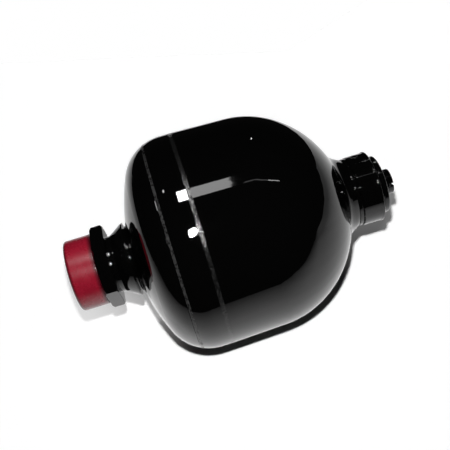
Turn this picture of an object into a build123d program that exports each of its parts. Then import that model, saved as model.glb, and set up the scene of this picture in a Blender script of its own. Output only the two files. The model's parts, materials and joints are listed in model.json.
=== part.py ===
"""Small bladder accumulator with a welded shell.  Millimetres, +Z up.

The axis of the vessel lies along X.  x = 0 is the seat face of the fluid port's hexagon, the
fluid port points to -X and the gas valve to +X.  Every turned piece is a profile of (x, radius)
revolved about X.
"""
from math import asin, cos, degrees, pi, radians, sin, sqrt, tan
import os

from build123d import *

os.makedirs("parts", exist_ok=True)

# ---------------------------------------------------------------- fits
running_clearance = 0.05       # a shaft in its guide, on the radius
loose_clearance = 0.2          # pieces that pass through one another and stay put
seat_clearance = 0.1           # left between a closed valve and its seat

# ---------------------------------------------------------------- shell
shell_radius = 75.5
shell_wall = 6.0
head_crown_radius = 138.0      # dished fluid head
head_knuckle_radius = 32.5
head_flange_length = 7.2       # straight flange between the head and the girth weld
witness_offset = 13.7          # turned witness line, back from the head's rim
witness_width = 0.9
witness_depth = 0.3
gas_run = 36.4                 # girth weld to the centre of the gas dome
gas_draft = 1.9                # taper of the drawn gas half, degrees
gas_dome_depth = 69.0
neck_root_radius = 28.5        # where the flared neck leaves the gas dome
neck_radius = 24.0
neck_length = 8.0
neck_fillet = 14.0
neck_land_radius = 27.0        # flat seat inside the neck
girth_weld_face = 2.6          # weld width at the outside
girth_weld_root = 1.2          # weld width at the inside
girth_weld_dip = 0.15          # the dressed weld lies this far below the shell

# ---------------------------------------------------------------- boss in the fluid head
boss_nose_radius = 20.2
boss_radius = 25.8
boss_cone_length = 8.7
boss_land = 1.0
boss_barrel_radius = 22.6
boss_groove = 2.1              # between the boss shoulder and the head
boss_inner_reach = 6.0         # barrel past the inside of the head
boss_weld_leg = 1.2

# ---------------------------------------------------------------- fluid port
port_thread_radius = 22.5      # M45 stub
port_thread_length = 17.0
port_thread_chamfer = 1.2
port_relief_width = 2.2
port_relief_depth = 1.4
port_mouth_radius = 16.0
port_mouth_length = 7.0
port_bore_radius = 11.0
hex_flats = 50.0
hex_length = 9.0
hex_turn = 16.7                # one corner this many degrees from straight up, towards -Y
hex_chamfer = 1.6              # on the radius
hex_chamfer_angle = 35.0
collar_radius = 19.8
collar_length = 3.6
screw_radius = 16.5            # M33 into the boss
screw_length = 25.0
guide_bore_radius = 12.5
guide_step = 6.5               # from the seat face of the hexagon to the guide's shoulder
seat_radius = 14.4
seat_depth = 2.2

# ---------------------------------------------------------------- seals and springs
ring_flat_count = 8                 # section of a seal squeezed into its groove
wire_flat_count = 6                 # section of the spring wires
port_ring_section = 2.4
port_ring_radius = 15.0        # inside of the ring
stem_ring_section = 2.4
stem_ring_setback = 4.0        # ring groove, back from the outer end of the neck
valve_ring_section = 1.8
valve_ring_radius = 13.4
plug_ring_section = 1.2
plug_ring_radius = 5.6

# ---------------------------------------------------------------- poppet valve in the port
poppet_travel = 6.0
poppet_head_radius = 15.2
poppet_head_rim = 1.6
poppet_crown = 2.0
poppet_stem_radius = 4.0
guide_thickness = 5.0
guide_hub_radius = 5.8
guide_hub_length = 5.0
guide_hole_radius = 2.3
guide_hole_circle = 9.1
guide_hole_count = 6
snap_ring_thickness = 1.2
snap_ring_bite = 0.9
snap_ring_width = 2.0
snap_ring_gap = 50.0           # opening of the ring, degrees
poppet_washer_radius = 6.8
poppet_washer_thickness = 1.6
poppet_nut_flats = 13.0
poppet_nut_length = 5.0
poppet_tip = 1.2
poppet_spring_wire = 0.7       # wire radius
poppet_spring_turns = 4.0
poppet_spring_radius = 7.4

# ---------------------------------------------------------------- thread protection cap
cap_radius = 24.8
cap_end_thickness = 2.5
cap_gap = 0.4                  # open edge of the cap to the hexagon
cap_fit = 0.1
cap_corner = 2.2
cap_edge = 0.5

# ---------------------------------------------------------------- bladder and its stem
bladder_gap = 5.0              # rubber to the shell, bladder relaxed
bladder_wall = 2.6
bladder_poppet_gap = 5.0       # bladder to the open poppet
bladder_crown_radius = 90.0
bladder_knuckle = 24.0
bladder_lip = 2.4              # rubber nipped between the stem flange and the neck
stem_radius = 18.0
stem_flange_radius = 23.4
stem_flange_thickness = 5.0
stem_bore_radius = 7.0

# ---------------------------------------------------------------- gas end outside the shell
collar_ring_radius = 24.2
collar_ring_thickness = 3.0
collar_ring_edge = 0.5
nut_radius = 24.6
nut_length = 17.0
nut_nose_radius = 20.7
nut_nose_length = 2.5
nut_lip = 0.35
nut_lip_width = 1.4
nut_foot_chamfer = 0.8
pin_hole_radius = 2.5          # radial holes for a pin spanner
pin_hole_depth = 4.5
pin_hole_turn = -30.0          # from straight up, towards -Y
pin_hole_count = 2

# ---------------------------------------------------------------- gas valve
valve_flange_radius = 20.4
valve_flange_thickness = 3.2
valve_flange_edge = 1.0
valve_screw_radius = 12.0
valve_screw_length = 26.0
plug_radius = 8.8
plug_length = 7.8
plug_edge = 0.7
plug_slot_width = 2.2
plug_slot_depth = 3.2
plug_slot_turn = 61.0          # from straight up, towards -Y
plug_screw_radius = 5.0
plug_screw_length = 8.0
core_radius = 4.0
core_length = 11.0
core_bore_radius = 2.4
core_floor = 1.6
core_recess = 1.5              # outer end of the core below the end of the plug's screw
pin_radius = 0.9
pin_collar_radius = 2.1
pin_collar_thickness = 0.8
pin_collar_setback = 1.5       # collar below the outer end of the core
pin_disc_radius = 2.9
pin_disc_thickness = 0.9
pin_tip = 0.8
pin_travel = 1.2
core_seal_thickness = 1.0
core_spring_wire = 0.22        # wire radius
core_spring_turns = 4.0
core_spring_radius = 1.5


def ellipse_x(depth, rim_radius, radius):
    """Distance from an ellipsoid's centre plane to its skin at a radius."""
    return depth * sqrt(1 - (radius / rim_radius) ** 2)


def pole_angle(rim_radius, radius):
    """Angle from the axis at which an arc about it reaches a radius."""
    return degrees(asin(radius / rim_radius))


def crown_x(crown, knuckle, rim_radius):
    """Distance from the rim of a dished head to the centre of its crown."""
    return sqrt((crown - knuckle) ** 2 - (rim_radius - knuckle) ** 2)


# ================================================================ places along the axis
boss_face_x = hex_length + collar_length
screw_end_x = boss_face_x + screw_length
boss_shoulder_x = boss_face_x + boss_cone_length + boss_land
groove_end_x = boss_shoulder_x + boss_groove
head_crown_centre = groove_end_x + sqrt(head_crown_radius ** 2 - boss_barrel_radius ** 2)
head_x = head_crown_centre - crown_x(head_crown_radius, head_knuckle_radius, shell_radius)
weld_x = head_x + head_flange_length
dome_x = weld_x + gas_run

# outside of the gas half: a drafted wall that runs tangent into an ellipsoidal dome
draft_slope = tan(radians(gas_draft))
draft_radius = shell_radius - draft_slope * gas_run
gas_dome_radius = sqrt(draft_radius ** 2 - (gas_dome_depth * draft_slope) ** 2)
draft_end_radius = gas_dome_radius ** 2 / draft_radius
neck_end_x = dome_x + ellipse_x(gas_dome_depth, gas_dome_radius, neck_root_radius) + neck_length

# inside of both halves
inner_radius = shell_radius - shell_wall
inner_dome_depth = gas_dome_depth - shell_wall
inner_dome_radius = gas_dome_radius - shell_wall
neck_bore_radius = stem_radius + loose_clearance
head_lip = Vector(weld_x - girth_weld_face / 2, shell_radius)
head_root = Vector(weld_x - girth_weld_root / 2, inner_radius)
gas_lip = Vector(weld_x + girth_weld_face / 2, shell_radius - draft_slope * girth_weld_face / 2)
gas_root = Vector(weld_x + girth_weld_root / 2, inner_radius)
land_x = dome_x + ellipse_x(inner_dome_depth, inner_dome_radius, neck_land_radius)
boss_inner_x = head_crown_centre - head_crown_radius + shell_wall + boss_inner_reach

# gas end stack
nut_foot_x = neck_end_x + collar_ring_thickness
nut_end_x = nut_foot_x + nut_length
valve_face_x = nut_end_x + valve_flange_thickness
plug_end_x = valve_face_x + plug_length
valve_foot_x = nut_end_x - valve_screw_length
stem_head_x = land_x - bladder_lip - stem_flange_thickness

# gas valve core
plug_screw_end_x = valve_face_x - plug_screw_length
core_top_x = plug_screw_end_x - core_recess
core_foot_x = core_top_x - core_length
pin_collar_x = core_top_x - pin_collar_setback

# poppet valve
port_seal_end_x = boss_face_x + port_ring_section
guide_face_x = guide_step + guide_thickness
seat_slope = (seat_radius - guide_bore_radius) / seat_depth
poppet_foot_x = screw_end_x - seat_depth + poppet_travel + seat_clearance
poppet_rim_x = poppet_foot_x + (poppet_head_radius - guide_bore_radius) / seat_slope
poppet_crown_x = poppet_rim_x + poppet_head_rim + poppet_crown
poppet_washer_x = guide_step - guide_hub_length - poppet_washer_thickness
poppet_nut_x = poppet_washer_x - poppet_nut_length

# ================================================================ shell
with BuildPart() as fluid_head:
    with BuildSketch():
        with BuildLine():
            knuckle_height = shell_radius - head_knuckle_radius
            join_angle = degrees(asin(knuckle_height / (head_crown_radius - head_knuckle_radius)))
            skin_root = pole_angle(head_crown_radius, boss_barrel_radius)
            lining_crown = head_crown_radius - shell_wall
            lining_root = pole_angle(lining_crown, boss_barrel_radius)
            CenterArc((head_x, knuckle_height), head_knuckle_radius, 90, 90 - join_angle)
            skin = CenterArc((head_crown_centre, 0), head_crown_radius, 180 - join_angle,
                             join_angle - skin_root)
            CenterArc((head_x, knuckle_height), head_knuckle_radius - shell_wall, 90,
                      90 - join_angle)
            lining = CenterArc((head_crown_centre, 0), lining_crown, 180 - join_angle,
                               join_angle - lining_root)
            Polyline((head_x, shell_radius), head_lip, head_root, (head_x, inner_radius))
            Line(skin @ 1, lining @ 1)
        make_face()
    revolve(axis=Axis.X)
    witness_angle = degrees(asin(witness_offset / head_knuckle_radius))
    with BuildSketch():
        with Locations((head_x - witness_offset,
                        knuckle_height + head_knuckle_radius * cos(radians(witness_angle)))):
            Rectangle(witness_width, 2 * witness_depth, rotation=witness_angle)
    revolve(axis=Axis.X, mode=Mode.SUBTRACT)

with BuildPart() as gas_half:
    with BuildSketch():
        with BuildLine():
            neck_angle = pole_angle(gas_dome_radius, neck_root_radius)
            dome = EllipticalCenterArc(
                (dome_x, 0), gas_dome_depth, gas_dome_radius, neck_angle,
                arc_size=pole_angle(gas_dome_radius, draft_end_radius) - neck_angle)
            land_angle = pole_angle(inner_dome_radius, neck_land_radius)
            lining = EllipticalCenterArc((dome_x, 0), inner_dome_depth, inner_dome_radius,
                                         land_angle, arc_size=90 - land_angle)
            Polyline(dome @ 1, gas_lip, gas_root, lining @ 1)
            Polyline(lining @ 0, (land_x, neck_bore_radius), (neck_end_x, neck_bore_radius),
                     (neck_end_x, neck_radius), dome @ 0)
        make_face()
        fillet(vertices().sort_by_distance(dome @ 0)[0], neck_fillet)
    revolve(axis=Axis.X)

with BuildPart() as girth_weld:
    with BuildSketch():
        with BuildLine():
            dip_share = girth_weld_dip / shell_wall
            Polyline(head_root, head_lip + (head_root - head_lip) * dip_share,
                     gas_lip + (gas_root - gas_lip) * dip_share, gas_root, close=True)
        make_face()
    revolve(axis=Axis.X)

# ================================================================ boss and its weld
with BuildPart() as boss:
    with BuildSketch():
        with BuildLine():
            seal_outside = port_ring_radius + port_ring_section
            Polyline((boss_face_x, seal_outside), (boss_face_x, boss_nose_radius),
                     (boss_shoulder_x - boss_land, boss_radius), (boss_shoulder_x, boss_radius),
                     (boss_shoulder_x, boss_barrel_radius), (boss_inner_x, boss_barrel_radius),
                     (boss_inner_x, screw_radius), (port_seal_end_x, screw_radius),
                     (port_seal_end_x, seal_outside), close=True)
        make_face()
    revolve(axis=Axis.X)

with BuildPart() as boss_weld:
    with BuildSketch():
        with BuildLine():
            toe_radius = boss_barrel_radius + boss_weld_leg
            toe_angle = pole_angle(head_crown_radius, toe_radius)
            joint = CenterArc((head_crown_centre, 0), head_crown_radius, 180 - toe_angle,
                              toe_angle - skin_root)
            Polyline(joint @ 1, (groove_end_x - boss_weld_leg, boss_barrel_radius), joint @ 0)
        make_face()
    revolve(axis=Axis.X)

# ================================================================ fluid port
with BuildPart() as port_body:
    with BuildSketch(Plane.YZ):
        RegularPolygon(hex_flats / 2, 6, major_radius=False, rotation=90 + hex_turn)
    extrude(amount=hex_length)
    with BuildSketch():
        with BuildLine():
            hex_corner = hex_flats / 2 / cos(pi / 6)
            chamfer_run = hex_chamfer * tan(radians(hex_chamfer_angle))
            Polyline((0, 0), (0, hex_corner - hex_chamfer), (chamfer_run, hex_corner),
                     (hex_length - chamfer_run, hex_corner), (hex_length, hex_corner - hex_chamfer),
                     (hex_length, 0), close=True)
        make_face()
    revolve(axis=Axis.X, mode=Mode.INTERSECT)
    with BuildSketch():
        with BuildLine():
            relief_radius = port_thread_radius - port_relief_depth
            Polyline((-port_thread_length, 0),
                     (-port_thread_length, port_thread_radius - port_thread_chamfer),
                     (port_thread_chamfer - port_thread_length, port_thread_radius),
                     (-port_relief_width, port_thread_radius),
                     (-port_relief_width, relief_radius), (0, relief_radius), (0, 0), close=True)
        make_face()
        with BuildLine():
            Polyline((hex_length, 0), (hex_length, collar_radius), (boss_face_x, collar_radius),
                     (boss_face_x, port_ring_radius), (port_seal_end_x, port_ring_radius),
                     (port_seal_end_x, screw_radius), (screw_end_x, screw_radius),
                     (screw_end_x, 0), close=True)
        make_face()
    revolve(axis=Axis.X)
    with BuildSketch():
        with BuildLine():
            ring_start_x = guide_face_x
            ring_end_x = guide_face_x + snap_ring_thickness
            ring_seat_radius = guide_bore_radius + snap_ring_bite
            Polyline((-port_thread_length, 0), (-port_thread_length, port_mouth_radius),
                     (port_mouth_length - port_thread_length, port_bore_radius),
                     (guide_step, port_bore_radius), (guide_step, guide_bore_radius),
                     (ring_start_x, guide_bore_radius), (ring_start_x, ring_seat_radius),
                     (ring_end_x, ring_seat_radius), (ring_end_x, guide_bore_radius),
                     (screw_end_x - seat_depth, guide_bore_radius), (screw_end_x, seat_radius),
                     (screw_end_x, 0), close=True)
        make_face()
    revolve(axis=Axis.X, mode=Mode.SUBTRACT)

with BuildPart() as boss_seal:
    with BuildSketch():
        with Locations((boss_face_x + port_ring_section / 2,
                        port_ring_radius + port_ring_section / 2)):
            RegularPolygon(port_ring_section / 2, ring_flat_count, major_radius=False,
                           rotation=180 / ring_flat_count)
    revolve(axis=Axis.X)

with BuildPart() as port_cap:
    with BuildSketch():
        with BuildLine():
            cap_end_x = -port_thread_length - cap_fit - cap_end_thickness
            cap_bore = port_thread_radius + cap_fit
            Polyline((cap_end_x, 0), (cap_end_x, cap_radius), (-cap_gap, cap_radius),
                     (-cap_gap, cap_bore), (cap_end_x + cap_end_thickness, cap_bore),
                     (cap_end_x + cap_end_thickness, 0), close=True)
        make_face()
        fillet(vertices().sort_by_distance((cap_end_x, cap_radius))[0], cap_corner)
        fillet(vertices().sort_by_distance((-cap_gap, cap_radius))[0], cap_edge)
    revolve(axis=Axis.X)

# ================================================================ poppet valve
with BuildPart() as poppet_guide:
    with BuildSketch():
        with BuildLine():
            Polyline((guide_step - guide_hub_length, 0),
                     (guide_step - guide_hub_length, guide_hub_radius),
                     (guide_step, guide_hub_radius), (guide_step, guide_bore_radius),
                     (guide_face_x, guide_bore_radius), (guide_face_x, 0), close=True)
        make_face()
    revolve(axis=Axis.X)
    with BuildSketch(Plane.YZ.offset(guide_step)):
        with PolarLocations(guide_hole_circle, guide_hole_count):
            Circle(guide_hole_radius)
    extrude(amount=guide_thickness, mode=Mode.SUBTRACT)
    with BuildSketch(Plane.YZ.offset(guide_step - guide_hub_length)):
        Circle(poppet_stem_radius + running_clearance)
    extrude(amount=guide_hub_length + guide_thickness, mode=Mode.SUBTRACT)

with BuildPart() as guide_ring:
    with BuildSketch():
        with Locations((guide_face_x, ring_seat_radius - snap_ring_width)):
            Rectangle(snap_ring_thickness, snap_ring_width, align=(Align.MIN, Align.MIN))
    revolve(axis=Axis.X, revolution_arc=360 - snap_ring_gap)

with BuildPart() as poppet:
    with BuildSketch():
        with BuildLine():
            Polyline((poppet_nut_x - poppet_tip, 0), (poppet_nut_x - poppet_tip, poppet_stem_radius),
                     (poppet_foot_x, poppet_stem_radius), (poppet_foot_x, guide_bore_radius),
                     (poppet_rim_x, poppet_head_radius),
                     (poppet_rim_x + poppet_head_rim, poppet_head_radius))
            TangentArc((poppet_crown_x, 0), (poppet_rim_x + poppet_head_rim, poppet_head_radius),
                       tangent=(0, 1))
            Line((poppet_crown_x, 0), (poppet_nut_x - poppet_tip, 0))
        make_face()
    revolve(axis=Axis.X)

with BuildPart() as poppet_washer:
    with BuildSketch(Plane.YZ.offset(poppet_washer_x)):
        Circle(poppet_washer_radius)
        Circle(poppet_stem_radius, mode=Mode.SUBTRACT)
    extrude(amount=poppet_washer_thickness)

with BuildPart() as poppet_nut:
    with BuildSketch(Plane.YZ.offset(poppet_nut_x)):
        RegularPolygon(poppet_nut_flats / 2, 6, major_radius=False)
        Circle(poppet_stem_radius, mode=Mode.SUBTRACT)
    extrude(amount=poppet_nut_length)

with BuildPart() as poppet_spring:
    spring_start = guide_face_x + poppet_spring_wire
    spring_length = poppet_foot_x - guide_face_x - 2 * poppet_spring_wire
    with BuildLine():
        coil = Helix(spring_length / poppet_spring_turns, spring_length, poppet_spring_radius,
                     center=(spring_start, 0, 0), direction=(1, 0, 0))
    with BuildSketch(Plane(origin=coil @ 0, z_dir=coil % 0)):
        RegularPolygon(poppet_spring_wire, wire_flat_count)
    sweep(path=coil, is_frenet=True)

# ================================================================ bladder and stem
with BuildPart() as bladder:
    nose_radius = inner_radius - bladder_gap
    back_depth = inner_dome_depth - bladder_gap
    back_radius = inner_dome_radius - bladder_gap
    lip_x = land_x - bladder_lip
    pole_x = poppet_crown_x + bladder_poppet_gap
    crown_centre_x = pole_x + bladder_crown_radius
    with BuildSketch():
        with BuildLine():
            lip_angle = pole_angle(back_radius, stem_flange_radius + bladder_wall)
            back = EllipticalCenterArc((dome_x, 0), back_depth, back_radius, lip_angle,
                                       arc_size=90 - lip_angle)
            inner_lip_angle = pole_angle(back_radius - bladder_wall, stem_flange_radius)
            inner_back = EllipticalCenterArc(
                (dome_x, 0), back_depth - bladder_wall, back_radius - bladder_wall,
                inner_lip_angle, arc_size=90 - inner_lip_angle)
            shoulder = (crown_centre_x - sqrt(bladder_crown_radius ** 2 - nose_radius ** 2),
                        nose_radius)
            inner_shoulder = (
                crown_centre_x - sqrt((bladder_crown_radius - bladder_wall) ** 2
                                      - (nose_radius - bladder_wall) ** 2),
                nose_radius - bladder_wall)
            TangentArc((pole_x, 0), shoulder, tangent=(0, 1))
            TangentArc((pole_x + bladder_wall, 0), inner_shoulder, tangent=(0, 1))
            Line(shoulder, back @ 1)
            Line(inner_shoulder, inner_back @ 1)
            Line((pole_x, 0), (pole_x + bladder_wall, 0))
            Polyline(back @ 0, (land_x, stem_flange_radius + bladder_wall), (land_x, stem_radius),
                     (lip_x, stem_radius), (lip_x, stem_flange_radius), inner_back @ 0)
        make_face()
        fillet(vertices().sort_by_distance(shoulder)[0], bladder_knuckle)
        fillet(vertices().sort_by_distance(inner_shoulder)[0], bladder_knuckle - bladder_wall)
    revolve(axis=Axis.X)

with BuildPart() as stem:
    stem_ring_x = neck_end_x - stem_ring_setback
    with BuildSketch():
        with BuildLine():
            seal_inside = neck_bore_radius - stem_ring_section
            Polyline((stem_head_x, stem_bore_radius), (stem_head_x, stem_flange_radius),
                     (lip_x, stem_flange_radius), (lip_x, stem_radius),
                     (stem_ring_x - stem_ring_section, stem_radius),
                     (stem_ring_x - stem_ring_section, seal_inside), (stem_ring_x, seal_inside),
                     (stem_ring_x, stem_radius), (nut_end_x, stem_radius),
                     (nut_end_x, valve_screw_radius), (valve_foot_x, valve_screw_radius),
                     (valve_foot_x, stem_bore_radius), close=True)
        make_face()
    revolve(axis=Axis.X)
    with BuildSketch():
        with Locations((nut_end_x, valve_ring_radius)):
            Rectangle(valve_ring_section, valve_ring_section, align=(Align.MAX, Align.MIN))
    revolve(axis=Axis.X, mode=Mode.SUBTRACT)

with BuildPart() as stem_seal:
    with BuildSketch():
        with Locations((stem_ring_x - stem_ring_section / 2, seal_inside + stem_ring_section / 2)):
            RegularPolygon(stem_ring_section / 2, ring_flat_count, major_radius=False,
                           rotation=180 / ring_flat_count)
    revolve(axis=Axis.X)

# ================================================================ collar ring and lock nut
with BuildPart() as collar_ring:
    with BuildSketch(Plane.YZ.offset(neck_end_x)):
        Circle(collar_ring_radius)
        Circle(stem_radius, mode=Mode.SUBTRACT)
    extrude(amount=collar_ring_thickness)
    chamfer(edges().filter_by(GeomType.CIRCLE).group_by(SortBy.RADIUS)[-1], collar_ring_edge)

with BuildPart() as lock_nut:
    with BuildSketch():
        with BuildLine():
            lip_end_x = nut_end_x - nut_nose_length
            Polyline((nut_foot_x, stem_radius), (nut_foot_x, nut_radius - nut_foot_chamfer),
                     (nut_foot_x + nut_foot_chamfer, nut_radius),
                     (lip_end_x - nut_lip_width, nut_radius),
                     (lip_end_x - nut_lip_width + nut_lip, nut_radius + nut_lip),
                     (lip_end_x, nut_radius + nut_lip), (nut_end_x, nut_nose_radius),
                     (nut_end_x, stem_radius), close=True)
        make_face()
    revolve(axis=Axis.X)
    pin_hole_x = (nut_foot_x + lip_end_x - nut_lip_width) / 2
    for index in range(pin_hole_count):
        turn = radians(pin_hole_turn + index * 360 / pin_hole_count)
        outward = Vector(0, -sin(turn), cos(turn))
        mouth = Vector(pin_hole_x, 0, 0) + outward * (nut_radius - pin_hole_depth)
        with BuildSketch(Plane(origin=mouth, z_dir=outward)):
            Circle(pin_hole_radius)
        extrude(amount=2 * pin_hole_depth, mode=Mode.SUBTRACT)

# ================================================================ gas valve
with BuildPart() as valve_body:
    with BuildSketch():
        with BuildLine():
            Polyline((valve_foot_x, pin_disc_radius + pin_travel),
                     (valve_foot_x, valve_screw_radius), (nut_end_x, valve_screw_radius),
                     (nut_end_x, valve_flange_radius), (valve_face_x, valve_flange_radius),
                     (valve_face_x, plug_ring_radius + plug_ring_section),
                     (valve_face_x - plug_ring_section, plug_ring_radius + plug_ring_section),
                     (valve_face_x - plug_ring_section, plug_screw_radius),
                     (core_top_x, plug_screw_radius), (core_top_x, core_radius),
                     (core_foot_x, core_radius), (core_foot_x, pin_disc_radius + pin_travel),
                     close=True)
        make_face()
        fillet(vertices().sort_by_distance((valve_face_x, valve_flange_radius))[0],
               valve_flange_edge)
    revolve(axis=Axis.X)

with BuildPart() as valve_seal:
    with BuildSketch():
        with Locations((nut_end_x - valve_ring_section / 2,
                        valve_ring_radius + valve_ring_section / 2)):
            RegularPolygon(valve_ring_section / 2, ring_flat_count, major_radius=False,
                           rotation=180 / ring_flat_count)
    revolve(axis=Axis.X)

with BuildPart() as valve_plug:
    with BuildSketch():
        with BuildLine():
            Polyline((plug_screw_end_x, 0), (plug_screw_end_x, plug_screw_radius),
                     (valve_face_x - plug_ring_section, plug_screw_radius),
                     (valve_face_x, plug_screw_radius), (valve_face_x, plug_radius),
                     (plug_end_x, plug_radius), (plug_end_x, 0), close=True)
        make_face()
        fillet(vertices().sort_by_distance((plug_end_x, plug_radius))[0], plug_edge)
    revolve(axis=Axis.X)
    with BuildSketch(Plane.YZ.offset(plug_end_x - plug_slot_depth)):
        Rectangle(3 * plug_radius, plug_slot_width, rotation=90 + plug_slot_turn)
    extrude(amount=2 * plug_slot_depth, mode=Mode.SUBTRACT)

with BuildPart() as plug_seal:
    with BuildSketch():
        with Locations((valve_face_x - plug_ring_section / 2,
                        plug_ring_radius + plug_ring_section / 2)):
            RegularPolygon(plug_ring_section / 2, ring_flat_count, major_radius=False,
                           rotation=180 / ring_flat_count)
    revolve(axis=Axis.X)

with BuildPart() as core_body:
    with BuildSketch():
        with BuildLine():
            pin_hole = pin_radius + running_clearance
            Polyline((core_foot_x, pin_hole), (core_foot_x, core_radius),
                     (core_top_x, core_radius), (core_top_x, core_bore_radius),
                     (core_foot_x + core_floor, core_bore_radius),
                     (core_foot_x + core_floor, pin_hole), close=True)
        make_face()
    revolve(axis=Axis.X)

with BuildPart() as core_pin:
    with BuildSketch():
        with BuildLine():
            pin_foot_x = core_foot_x - core_seal_thickness
            Polyline((pin_foot_x - pin_disc_thickness, 0),
                     (pin_foot_x - pin_disc_thickness, pin_disc_radius),
                     (pin_foot_x, pin_disc_radius), (pin_foot_x, pin_radius),
                     (pin_collar_x - pin_collar_thickness, pin_radius),
                     (pin_collar_x - pin_collar_thickness, pin_collar_radius),
                     (pin_collar_x, pin_collar_radius), (pin_collar_x, pin_radius),
                     (core_top_x + pin_tip, pin_radius), (core_top_x + pin_tip, 0), close=True)
        make_face()
    revolve(axis=Axis.X)

with BuildPart() as core_seal:
    with BuildSketch(Plane.YZ.offset(pin_foot_x)):
        Circle(pin_disc_radius)
        Circle(pin_radius, mode=Mode.SUBTRACT)
    extrude(amount=core_seal_thickness)

with BuildPart() as core_spring:
    core_spring_start = core_foot_x + core_floor + core_spring_wire
    core_spring_length = (pin_collar_x - pin_collar_thickness - core_foot_x - core_floor
                          - 2 * core_spring_wire)
    with BuildLine():
        fine_coil = Helix(core_spring_length / core_spring_turns, core_spring_length,
                          core_spring_radius, center=(core_spring_start, 0, 0),
                          direction=(1, 0, 0))
    with BuildSketch(Plane(origin=fine_coil @ 0, z_dir=fine_coil % 0)):
        RegularPolygon(core_spring_wire, wire_flat_count)
    sweep(path=fine_coil, is_frenet=True)

# ================================================================ write every piece
pieces = {
    "fluid_head": fluid_head, "gas_half": gas_half, "girth_weld": girth_weld,
    "boss": boss, "boss_weld": boss_weld,
    "port_body": port_body, "boss_seal": boss_seal, "port_cap": port_cap,
    "poppet_guide": poppet_guide, "guide_ring": guide_ring, "poppet": poppet,
    "poppet_washer": poppet_washer, "poppet_nut": poppet_nut, "poppet_spring": poppet_spring,
    "bladder": bladder, "stem": stem, "stem_seal": stem_seal,
    "collar_ring": collar_ring, "lock_nut": lock_nut,
    "valve_body": valve_body, "valve_seal": valve_seal, "valve_plug": valve_plug,
    "plug_seal": plug_seal, "core_body": core_body, "core_pin": core_pin,
    "core_seal": core_seal, "core_spring": core_spring,
}
for label, piece in pieces.items():
    piece.part.label = label
    export_step(piece.part, f"parts/{label}.step")
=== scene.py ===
"""Looks of a small bladder accumulator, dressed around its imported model.  Metres, +Z up.

The axis of the vessel lies along X.  The fluid port points to -X and the gas valve to +X.
"""

import json
from math import cos, pi, radians, sin

import bpy
from mathutils import Matrix, Vector


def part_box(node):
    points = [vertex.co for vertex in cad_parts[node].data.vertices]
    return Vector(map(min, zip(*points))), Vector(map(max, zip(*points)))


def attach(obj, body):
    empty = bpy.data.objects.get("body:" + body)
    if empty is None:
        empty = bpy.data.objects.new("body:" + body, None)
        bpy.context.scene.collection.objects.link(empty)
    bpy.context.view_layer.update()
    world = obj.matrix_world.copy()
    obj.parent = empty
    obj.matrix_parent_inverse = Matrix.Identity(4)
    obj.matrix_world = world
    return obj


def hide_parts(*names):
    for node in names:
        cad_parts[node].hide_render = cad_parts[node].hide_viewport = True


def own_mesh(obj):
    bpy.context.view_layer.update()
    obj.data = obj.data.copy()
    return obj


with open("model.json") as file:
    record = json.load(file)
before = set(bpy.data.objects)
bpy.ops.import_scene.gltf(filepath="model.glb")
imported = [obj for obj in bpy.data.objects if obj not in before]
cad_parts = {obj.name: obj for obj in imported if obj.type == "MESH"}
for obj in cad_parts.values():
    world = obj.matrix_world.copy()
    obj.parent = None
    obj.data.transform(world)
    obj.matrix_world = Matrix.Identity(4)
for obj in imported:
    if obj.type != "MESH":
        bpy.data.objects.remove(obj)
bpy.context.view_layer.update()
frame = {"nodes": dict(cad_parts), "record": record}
MM = 0.001
SCENE = bpy.context.scene

# ---------------------------------------------------------------- places taken from the frame
shell_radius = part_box("fluid_head")[1].z
floor_z = -shell_radius - 0.2 * MM        # a hair of room under the belly of the shell
cap_low, cap_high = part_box("port_cap")
CAP_CLOSED_X = cap_low.x / MM             # closed end of the red cap
CAP_OPEN_X = -1.0                         # its open end, by the hexagon
CAP_RADIUS = cap_high.z / MM

# ---------------------------------------------------------------- camera
CAMERA_AZIMUTH = -4.67                    # degrees from a square-on view of the axis
CAMERA_ELEVATION = 50.0
CAMERA_ROLL = 13.33
CAMERA_DISTANCE = 540 * MM
CAMERA_LENS = 62.1                        # mm, on a sensor 36 mm wide
CAMERA_RISE = 3.7 * MM                    # the aim passes this far above the axis in view
AXIS_MIDDLE = Vector((90.4, 0, 0)) * MM

azimuth, elevation, roll = (radians(angle) for angle in (CAMERA_AZIMUTH, CAMERA_ELEVATION,
                                                         CAMERA_ROLL))
cam_back = Vector((sin(azimuth) * cos(elevation), -cos(azimuth) * cos(elevation),
                   sin(elevation)))
level_right = Vector((cos(azimuth), sin(azimuth), 0))
level_up = cam_back.cross(level_right)
cam_right = level_right * cos(roll) - level_up * sin(roll)
cam_up = level_up * cos(roll) + level_right * sin(roll)
axis_in_view = Vector((cam_right.x, cam_up.x)).normalized()
across_axis = cam_up * axis_in_view.x - cam_right * axis_in_view.y
aim = AXIS_MIDDLE + across_axis * CAMERA_RISE
camera_data = bpy.data.cameras.new("camera")
camera_data.lens = CAMERA_LENS
camera_data.sensor_width = 36
camera = bpy.data.objects.new("camera", camera_data)
camera.matrix_world = Matrix.Translation(aim + cam_back * CAMERA_DISTANCE) @ Matrix(
    (cam_right, cam_up, cam_back)).transposed().to_4x4()
SCENE.collection.objects.link(camera)
SCENE.camera = camera


# ---------------------------------------------------------------- material helpers
def colour(code):
    """Linear RGBA of an sRGB hex code."""
    values = [int(code[i:i + 2], 16) / 255 for i in (1, 3, 5)]
    return [v / 12.92 if v <= 0.04045 else ((v + 0.055) / 1.055) ** 2.4 for v in values] + [1]


def add(tree, kind, inputs=None, out=0, **settings):
    """Adds a node, sets its properties, sets or links its inputs, and returns one output."""
    made = tree.nodes.new("ShaderNode" + kind)
    for name, value in settings.items():
        setattr(made, name, value)
    for socket, value in (inputs or {}).items():
        if isinstance(value, bpy.types.NodeSocket):
            tree.links.new(value, made.inputs[socket])
        else:
            made.inputs[socket].default_value = value
    return made.outputs[out]


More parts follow.
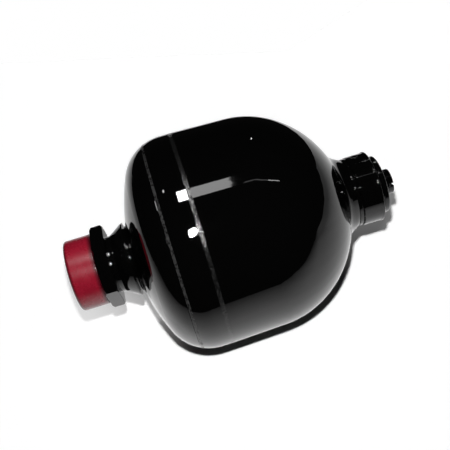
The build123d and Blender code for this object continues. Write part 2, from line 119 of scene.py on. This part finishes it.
def dress(tree, **sockets):
    """Sets or links inputs of the Principled shader."""
    shader = tree.nodes["Principled BSDF"]
    for name, value in sockets.items():
        socket = shader.inputs[name.replace("_", " ")]
        if isinstance(value, bpy.types.NodeSocket):
            tree.links.new(value, socket)
        else:
            socket.default_value = value


def surface(name, base, rough, metal=0.0, **sockets):
    """A material with one Principled shader; returns it, its tree and a place in millimetres."""
    material = bpy.data.materials.new(name)
    material.use_nodes = True
    tree = material.node_tree
    dress(tree, Base_Color=colour(base), Roughness=rough, Metallic=metal, **sockets)
    place = add(tree, "VectorMath", {0: add(tree, "TexCoord", out="Object"), 1: (1000,) * 3},
                operation="MULTIPLY")
    return material, tree, place


# ---------------------------------------------------------------- enamel, red cap, rubber
# Sizes and depths of patterns are in millimetres.  The skins of enamel, plastic and rubber are
# finer and shallower on the real pieces, and are drawn as coarse as they need to show.
ENAMEL_BLACK = "#020202"
ENAMEL_IOR = 1.46
WITNESS_X = 51.4                          # turned line on the fluid head
WITNESS_HALF_WIDTH = 0.9
WITNESS_WEAR = 2.5                        # size of the patches rubbed grey along it


def black_enamel():
    """Black alkyd enamel on steel, sprayed: deep gloss with a faint orange peel.

    The witness line is where the lathe tool's groove holds less paint, rubbed grey."""
    gloss, rubbed_gloss = 0.03, 0.60
    peel_size, peel_depth = 5.0, 0.010
    material, tree, place = surface("black_enamel", ENAMEL_BLACK, gloss, IOR=ENAMEL_IOR)
    x = add(tree, "SeparateXYZ", {0: place})
    line = add(tree, "Math", {0: x, 1: WITNESS_X, 2: WITNESS_HALF_WIDTH}, operation="COMPARE")
    wear = add(tree, "TexNoise", {"Vector": place, "Scale": 1 / WITNESS_WEAR, "Detail": 4.0,
                                  "Roughness": 0.7})
    patchy = add(tree, "MapRange", {0: wear, 1: 0.30, 2: 0.70})
    rubbed = add(tree, "Math", {0: line, 1: patchy}, operation="MULTIPLY")
    paint = add(tree, "Mix", {0: rubbed, 6: colour(ENAMEL_BLACK), 7: colour("#2c2c2c")}, out=2,
                data_type="RGBA")
    peel = add(tree, "TexNoise", {"Vector": place, "Scale": 1 / peel_size, "Detail": 2.0})
    dress(tree, Base_Color=paint,
          Roughness=add(tree, "MapRange", {0: rubbed, 3: gloss, 4: rubbed_gloss}),
          Normal=add(tree, "Bump", {"Strength": 1.0, "Distance": peel_depth * MM,
                                    "Height": peel}))
    return material


def fitting_enamel():
    """Black enamel on turned fittings: thicker in the corners, so that edges round over."""
    peel_size, peel_depth = 3.0, 0.03
    edge_radius = 0.6
    material, tree, place = surface("fitting_enamel", ENAMEL_BLACK, 0.06, IOR=ENAMEL_IOR)
    peel = add(tree, "TexNoise", {"Vector": place, "Scale": 1 / peel_size, "Detail": 3.0})
    soft_edge = add(tree, "Bevel", {"Radius": edge_radius * MM}, samples=6)
    dress(tree, Normal=add(tree, "Bump", {"Strength": 1.0, "Distance": peel_depth * MM,
                                          "Height": peel, "Normal": soft_edge}))
    return material


def weld_enamel():
    """The same enamel over a ground-back weld: pits and freckles about 1 mm across."""
    freckle_size = 1.3
    pit_size, pit_depth = 1.6, 0.30
    material, tree, place = surface("weld_enamel", "#060606", 0.14, IOR=ENAMEL_IOR)
    grit = add(tree, "TexNoise", {"Vector": place, "Scale": 1 / freckle_size, "Detail": 3.0,
                                  "Roughness": 0.7})
    freckles = add(tree, "MapRange", {0: grit, 1: 0.42, 2: 0.66})
    paint = add(tree, "Mix", {0: freckles, 6: colour("#030303"), 7: colour("#1e1e1e")}, out=2,
                data_type="RGBA")
    pits = add(tree, "TexNoise", {"Vector": place, "Scale": 1 / pit_size, "Detail": 3.0,
                                  "Roughness": 0.7})
    dress(tree, Base_Color=paint,
          Normal=add(tree, "Bump", {"Strength": 1.0, "Distance": pit_depth * MM,
                                    "Height": pits}))
    return material


def red_polyethylene():
    """Low-density polyethylene, injection moulded: satin, with faint flow marks.

    Its colour is painted darker at the rounded edge of the cap's closed end and along its open
    end: painted shade, where these edges turn away from the light."""
    flow_size = 7.0
    skin_size, skin_depth = 2.5, 0.010
    material, tree, place = surface("red_polyethylene", "#6a0b1a", 0.27, IOR=1.51)
    flow = add(tree, "TexNoise", {"Vector": place, "Scale": 1 / flow_size, "Detail": 3.0,
                                  "Roughness": 0.6})
    x = add(tree, "SeparateXYZ", {0: place})
    closed_end = add(tree, "MapRange", {0: x, 1: CAP_CLOSED_X + 0.6, 2: CAP_CLOSED_X + 2.6,
                                        3: 1.0, 4: 0.0})
    open_end = add(tree, "MapRange", {0: x, 1: CAP_OPEN_X - 2.4, 2: CAP_OPEN_X})
    ends = add(tree, "Math", {0: closed_end, 1: open_end}, operation="MAXIMUM")
    off_axis = add(tree, "VectorMath", {0: place, 1: (0, 1, 1)}, operation="MULTIPLY")
    radius = add(tree, "VectorMath", {0: off_axis}, out="Value", operation="LENGTH")
    outermost = add(tree, "MapRange", {0: radius, 1: CAP_RADIUS - 2.2, 2: CAP_RADIUS - 0.6})
    # painted shade: the colour turns dark at the rounded edges of both ends of the cap
    painted_shade_rim = add(tree, "Math", {0: ends, 1: outermost}, operation="MULTIPLY")
    body = add(tree, "Mix", {0: flow, 6: colour("#660a19"), 7: colour("#741021")}, out=2,
               data_type="RGBA")
    skin = add(tree, "TexNoise", {"Vector": place, "Scale": 1 / skin_size, "Detail": 2.0})
    dress(tree, Base_Color=add(tree, "Mix", {0: painted_shade_rim, 6: body, 7: colour("#34050d")}, out=2,
                               data_type="RGBA"),
          Roughness=add(tree, "MapRange", {0: flow, 1: 0.3, 2: 0.7, 3: 0.25, 4: 0.30}),
          Normal=add(tree, "Bump", {"Strength": 1.0, "Distance": skin_depth * MM,
                                    "Height": skin}))
    return material


def nitrile():
    """Moulded nitrile rubber: matt black with a dusty bloom."""
    bloom_size = 9.0
    skin_size, skin_depth = 0.8, 0.02
    material, tree, place = surface("nitrile_rubber", "#191919", 0.62, IOR=1.52)
    bloom = add(tree, "TexNoise", {"Vector": place, "Scale": 1 / bloom_size, "Detail": 3.0})
    skin = add(tree, "TexNoise", {"Vector": place, "Scale": 1 / skin_size, "Detail": 2.0})
    dress(tree, Base_Color=add(tree, "Mix", {0: bloom, 6: colour("#131313"),
                                             7: colour("#232322")}, out=2, data_type="RGBA"),
          Normal=add(tree, "Bump", {"Strength": 1.0, "Distance": skin_depth * MM,
                                    "Height": skin}))
    return material


# ---------------------------------------------------------------- bare metals
TURNED = (0.25, 50, 50)                   # rings left by the lathe tool, one after another in X
EVEN = (0.7, 0.7, 0.7)                    # grain of plating and of drawn wire


def metal(name, low, high, rough_low, rough_high, grain):
    """A bare metal whose colour and roughness wander; grain is its size along X, Y and Z."""
    patch_size, mark_depth = 4.0, 0.015
    material, tree, place = surface(name, low, rough_low, metal=1.0)
    patches = add(tree, "TexNoise", {"Vector": place, "Scale": 1 / patch_size, "Detail": 3.0})
    stretched = add(tree, "VectorMath", {0: place, 1: tuple(1 / size for size in grain)},
                    operation="MULTIPLY")
    marks = add(tree, "TexNoise", {"Vector": stretched, "Scale": 1.0, "Detail": 2.0})
    dress(tree, Base_Color=add(tree, "Mix", {0: patches, 6: colour(low), 7: colour(high)},
                               out=2, data_type="RGBA"),
          Roughness=add(tree, "MapRange", {0: patches, 1: 0.3, 2: 0.7, 3: rough_low,
                                           4: rough_high}),
          Normal=add(tree, "Bump", {"Strength": 1.0, "Distance": mark_depth * MM,
                                    "Height": marks}))
    return material


# ---------------------------------------------------------------- finishes of the pieces
SHARP_EDGE = radians(25)
FITTING = fitting_enamel()
FITTINGS = ("port_body", "boss", "boss_weld", "collar_ring", "lock_nut", "valve_body",
            "valve_plug")
FINISHES = {
    "shell_paint": black_enamel(),
    "weld_paint": weld_enamel(),
    "red_plastic": red_polyethylene(),
    "nitrile": nitrile(),
    "machined_steel": metal("turned_steel", "#b4b3b0", "#c6c5c2", 0.22, 0.34, TURNED),
    "zinc_steel": metal("zinc_plated_steel", "#bcbdbd", "#d2d3d2", 0.26, 0.40, EVEN),
    "spring_steel": metal("drawn_spring_steel", "#77787a", "#8c8d8f", 0.24, 0.36, EVEN),
    "brass": metal("turned_brass", "#c8a04c", "#d8b360", 0.20, 0.32, TURNED),
}
SLOT_OF = {part["node"]: part["material_slot"] for part in frame["record"]["subparts"]}
for node_name, cad_object in frame["nodes"].items():
    for polygon in cad_object.data.polygons:
        polygon.use_smooth = True
    cad_object.data.set_sharp_from_angle(angle=SHARP_EDGE)
    cad_object.data.materials.clear()
    finish = FITTING if node_name in FITTINGS else FINISHES[SLOT_OF[node_name]]
    cad_object.data.materials.append(finish)

# ---------------------------------------------------------------- springs
# A spring shortens towards its fixed end as its joint travels.  A copy of its mesh, on the
# vessel's body, stands for the node here.
for spring_name, joint_name in (("poppet_spring", "poppet_slide"),
                                ("core_spring", "valve_pin_slide")):
    coil = bpy.data.objects.new(spring_name + "_coil", frame["nodes"][spring_name].data.copy())
    SCENE.collection.objects.link(coil)
    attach(coil, "vessel")
    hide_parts(spring_name)
    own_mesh(coil)


# ---------------------------------------------------------------- light
def lamp(name, kind, place, aim, power, misses, **settings):
    """A lamp at a place, turned to its aim; misses is the kind of ray that doesn't see it."""
    data = bpy.data.lights.new(name, kind)
    data.energy = power
    for setting, value in settings.items():
        setattr(data, setting, value)
    made = bpy.data.objects.new(name, data)
    made.location = place
    made.rotation_mode = "QUATERNION"
    made.rotation_quaternion = (place - aim).to_track_quat("Z", "Y")
    setattr(made, "visible_" + misses, False)
    SCENE.collection.objects.link(made)
    return made


FLASH = Vector((71, -292, 455)) * MM
FLASH_POWER = 18.5
SHELL_MIDDLE = Vector((90, 0, 0)) * MM

# The flash lights the vessel and the floor.  The gloss shows a tall window in its place.
lamp("flash", "POINT", FLASH, SHELL_MIDDLE, FLASH_POWER, "glossy", shadow_soft_size=8.5 * MM)
lamp("flash_window", "AREA", FLASH, Vector((90, 0, 60)) * MM, 1.7, "diffuse",
     shape="ELLIPSE", size=10.5 * MM, size_y=72 * MM)

# A ceiling panel, brighter at its left end, seen only in the gloss:
PANEL_Y, PANEL_HEIGHT, PANEL_DEPTH = 97, 1059, 196
for name, left, right, power in (("panel_left", 39, 106, 4.6), ("panel_right", 106, 232, 0.50)):
    middle = (left + right) / 2
    lamp(name, "AREA", Vector((middle, PANEL_Y, PANEL_HEIGHT)) * MM, Vector((middle, 0, 0)) * MM,
         power, "diffuse", shape="RECTANGLE", size=(right - left) * MM, size_y=PANEL_DEPTH * MM)

# A thin tube that goes on from the panel and gets brighter, seen only in the gloss:
TUBE_WIDTH = 20 * MM
TUBE_POINTS = [Vector(point) * MM for point in ((256, 13, 1058), (560, -18, 926),
                                                (761, -38, 838))]
for name, start, end, power in (("tube_dim", *TUBE_POINTS[:2], 0.026),
                                ("tube_bright", *TUBE_POINTS[1:], 0.13)):
    middle = (start + end) / 2
    tube = lamp(name, "AREA", middle, SHELL_MIDDLE, power, "diffuse", shape="RECTANGLE",
                size=(end - start).length, size_y=TUBE_WIDTH)
    tube_row = (end - start).normalized()
    tube_column = (middle - SHELL_MIDDLE).cross(tube_row).normalized()
    tube.matrix_world = Matrix.Translation(middle) @ Matrix(
        (tube_row, tube_column, tube_row.cross(tube_column))).transposed().to_4x4()

# Two spots light the top and the closed end of the red cap, which the flash passes by.
lamp("cap_top_light", "SPOT", Vector((-10, 190, 420)) * MM, Vector((-9, 0, 8)) * MM, 4.0,
     "glossy", spot_size=radians(14), spot_blend=0.5, shadow_soft_size=20 * MM)
lamp("cap_end_light", "SPOT", Vector((-320, -60, -20)) * MM, Vector((-19, 0, 5)) * MM, 1.2,
     "glossy", spot_size=radians(12), spot_blend=0.5, shadow_soft_size=20 * MM)

# Two small lamps further off, seen only in the gloss:
lamp("far_spot", "AREA", Vector((454, 806, 570)) * MM, Vector((120, 0, 70)) * MM, 0.03,
     "diffuse", shape="ELLIPSE", size=14 * MM, size_y=50 * MM)
lamp("corner_lamp", "AREA", Vector((-327, 318, 934)) * MM, SHELL_MIDDLE, 0.13, "diffuse",
     shape="DISK", size=60 * MM)

# ---------------------------------------------------------------- floor
# The card has axes of its own: u along its long edge, v away from the flash.
WHITE = 1.0                               # what the camera sees of the floor and beyond it
CARD_TURN = radians(-21.9)                # from X to u
CARD_CORNERS = ((-400, -222), (3000, -222), (3000, 3220), (100, 320), (-400, 320))
FLASH_HEIGHT = FLASH.z - floor_z
MOST_ALBEDO = 0.9
card_row = Vector((cos(CARD_TURN), sin(CARD_TURN), 0))
card_column = Vector((-card_row.y, card_row.x, 0))

# Painted light fills the shadow under the cap and under the nut: there the card's base colour is
# darker, so the flash lights less of it, and the Light Path glow paints in the rest of the
# white, in the shadow too.  Each row gives where the fill is full and where it ends, along u and
# then along v, in metres.
SHADOW_FILL = 0.7
SHADOW_FILL_PLACES = ((-0.050, 0.060, 0.00, 0.12),
              (0.260, 0.160, 0.06, 0.20))
# Each fade goes along an axis, from one place with its level to another with its own.
# Where the pool fades, the glow paints in the white, so a shadow there is painted lighter.
# The gloss fades paint a pool of light into what the enamel mirrors: a painted reflection,
# white by the vessel and dimmer far off.
POOL_FADES = (("v", -0.225, -0.09, 0.15, 1.0), ("v", 0.15, 0.50, 1.0, 0.3))
GLOSS_FADES = (("u", -0.42, -0.02, 0.10, 1.05), ("u", 0.25, 0.9, 1.0, 0.42),
               ("v", -0.222, -0.07, 0.20, 1.0), ("v", 0.15, 0.45, 1.0, 0.7))


def white_card():
    """Matt white card in a pool of light that dies away from the vessel.

    Its base colour is painted darker where the flash is stronger, worked out from the flash's
    fall-off, so that the flash alone gives the pool.  The rest of the white is painted glow from
    Light Path: the shadow stays where the pool is full and is painted lighter where it fades, as
    under the cap and the nut.  Gloss sees painted glow too, a painted pool of light: the card
    white by the vessel and dimmer towards its far ends."""
    material, tree, _ = surface("white_card", "#f4f4f4", 1.0, Specular_IOR_Level=0.0)
    place = add(tree, "NewGeometry", out="Position")
    along = {name: add(tree, "VectorMath", {0: place, 1: axis}, out="Value",
                       operation="DOT_PRODUCT")
             for name, axis in (("u", card_row), ("v", card_column))}
    pool = WHITE
    # painted light: the pool is cut where the shadow is to be filled with glow
    for u_full, u_end, v_full, v_end in SHADOW_FILL_PLACES:
        by_u = add(tree, "MapRange", {0: along["u"], 1: u_full, 2: u_end, 3: 1.0, 4: 0.0},
                   interpolation_type="SMOOTHSTEP")
        by_v = add(tree, "MapRange", {0: along["v"], 1: v_full, 2: v_end, 3: 1.0, 4: 0.0},
                   interpolation_type="SMOOTHSTEP")
        shadow_fill_mask = add(tree, "Math", {0: by_u, 1: by_v}, operation="MULTIPLY")
        kept = add(tree, "Math", {0: shadow_fill_mask, 1: -SHADOW_FILL, 2: 1.0}, operation="MULTIPLY_ADD")
        pool = add(tree, "Math", {0: pool, 1: kept}, operation="MULTIPLY")
    levels = []
    for level, fades in ((pool, POOL_FADES), (1.0, GLOSS_FADES)):
        for axis, first, last, at_first, at_last in fades:
            fade = add(tree, "MapRange", {0: along[axis], 1: first, 2: last, 3: at_first,
                                          4: at_last})
            level = add(tree, "Math", {0: level, 1: fade}, operation="MULTIPLY")
        levels.append(level)
    pool, gloss = levels

    # the flash's light on the floor falls off with the cube of the slant distance
    foot = add(tree, "VectorMath", {0: place, 1: (FLASH.x, FLASH.y, floor_z)}, out="Value",
               operation="DISTANCE")
    slant_squared = add(tree, "Math", {0: foot, 1: foot, 2: FLASH_HEIGHT ** 2},
                        operation="MULTIPLY_ADD")
    slant = add(tree, "Math", {0: slant_squared, 1: 0.5}, operation="POWER")
    share = add(tree, "Math", {0: FLASH_HEIGHT, 1: slant}, operation="DIVIDE")
    fall_off = add(tree, "Math", {0: share, 1: 3.0}, operation="POWER")
    under_flash = FLASH_POWER / (4 * pi ** 2 * FLASH_HEIGHT ** 2)
    flash_light = add(tree, "Math", {0: fall_off, 1: under_flash}, operation="MULTIPLY")
    wanted = add(tree, "Math", {0: pool, 1: flash_light}, operation="DIVIDE")
    albedo = add(tree, "Math", {0: wanted, 1: MOST_ALBEDO}, operation="MINIMUM")
    lit = add(tree, "Math", {0: albedo, 1: flash_light}, operation="MULTIPLY")

    # painted light: the glow adds what the flash would leave short of each level if nothing cast
    # a shadow, so a shadow keeps only the pool's depth
    glow = 0.0
    for ray, level in (("Is Camera Ray", WHITE), ("Is Glossy Ray", gloss),
                       ("Is Transmission Ray", gloss)):
        missing = add(tree, "Math", {0: level, 1: lit}, operation="SUBTRACT")
        lift = add(tree, "Math", {0: missing, 1: 0.0}, operation="MAXIMUM")
        glow = add(tree, "Math", {0: add(tree, "LightPath", out=ray), 1: lift, 2: glow},
                   operation="MULTIPLY_ADD")
    dress(tree, Base_Color=add(tree, "CombineColor", {0: albedo, 1: albedo, 2: albedo}),
          Emission_Color=(1, 1, 1, 1), Emission_Strength=glow)
    return material


card_mesh = bpy.data.meshes.new("white_card")
card_mesh.from_pydata([(card_row * u + card_column * v) * MM + Vector((0, 0, floor_z))
                       for u, v in CARD_CORNERS], [], [range(len(CARD_CORNERS))])
card = bpy.data.objects.new("white_card", card_mesh)
SCENE.collection.objects.link(card)
card_mesh.materials.append(white_card())

# ---------------------------------------------------------------- room
# The room is dim.  The gloss shows it as it is, since the enamel mirrors a dark ceiling, and the
# camera sees white beyond the card.
ROOM_LIGHT = 0.006
ROOM_IN_GLOSS = 0.006
world = bpy.data.worlds.new("room")
SCENE.world = world
world.use_nodes = True
room = world.node_tree
background = room.nodes["Background"]
strength = ROOM_LIGHT
for ray, level in (("Is Camera Ray", WHITE), ("Is Glossy Ray", ROOM_IN_GLOSS),
                   ("Is Transmission Ray", ROOM_IN_GLOSS)):
    strength = add(room, "Math", {0: add(room, "LightPath", out=ray), 1: level - ROOM_LIGHT,
                                  2: strength}, operation="MULTIPLY_ADD")
room.links.new(strength, background.inputs["Strength"])
background.inputs["Color"].default_value = (1, 1, 1, 1)

SCENE.view_settings.view_transform = "Standard"
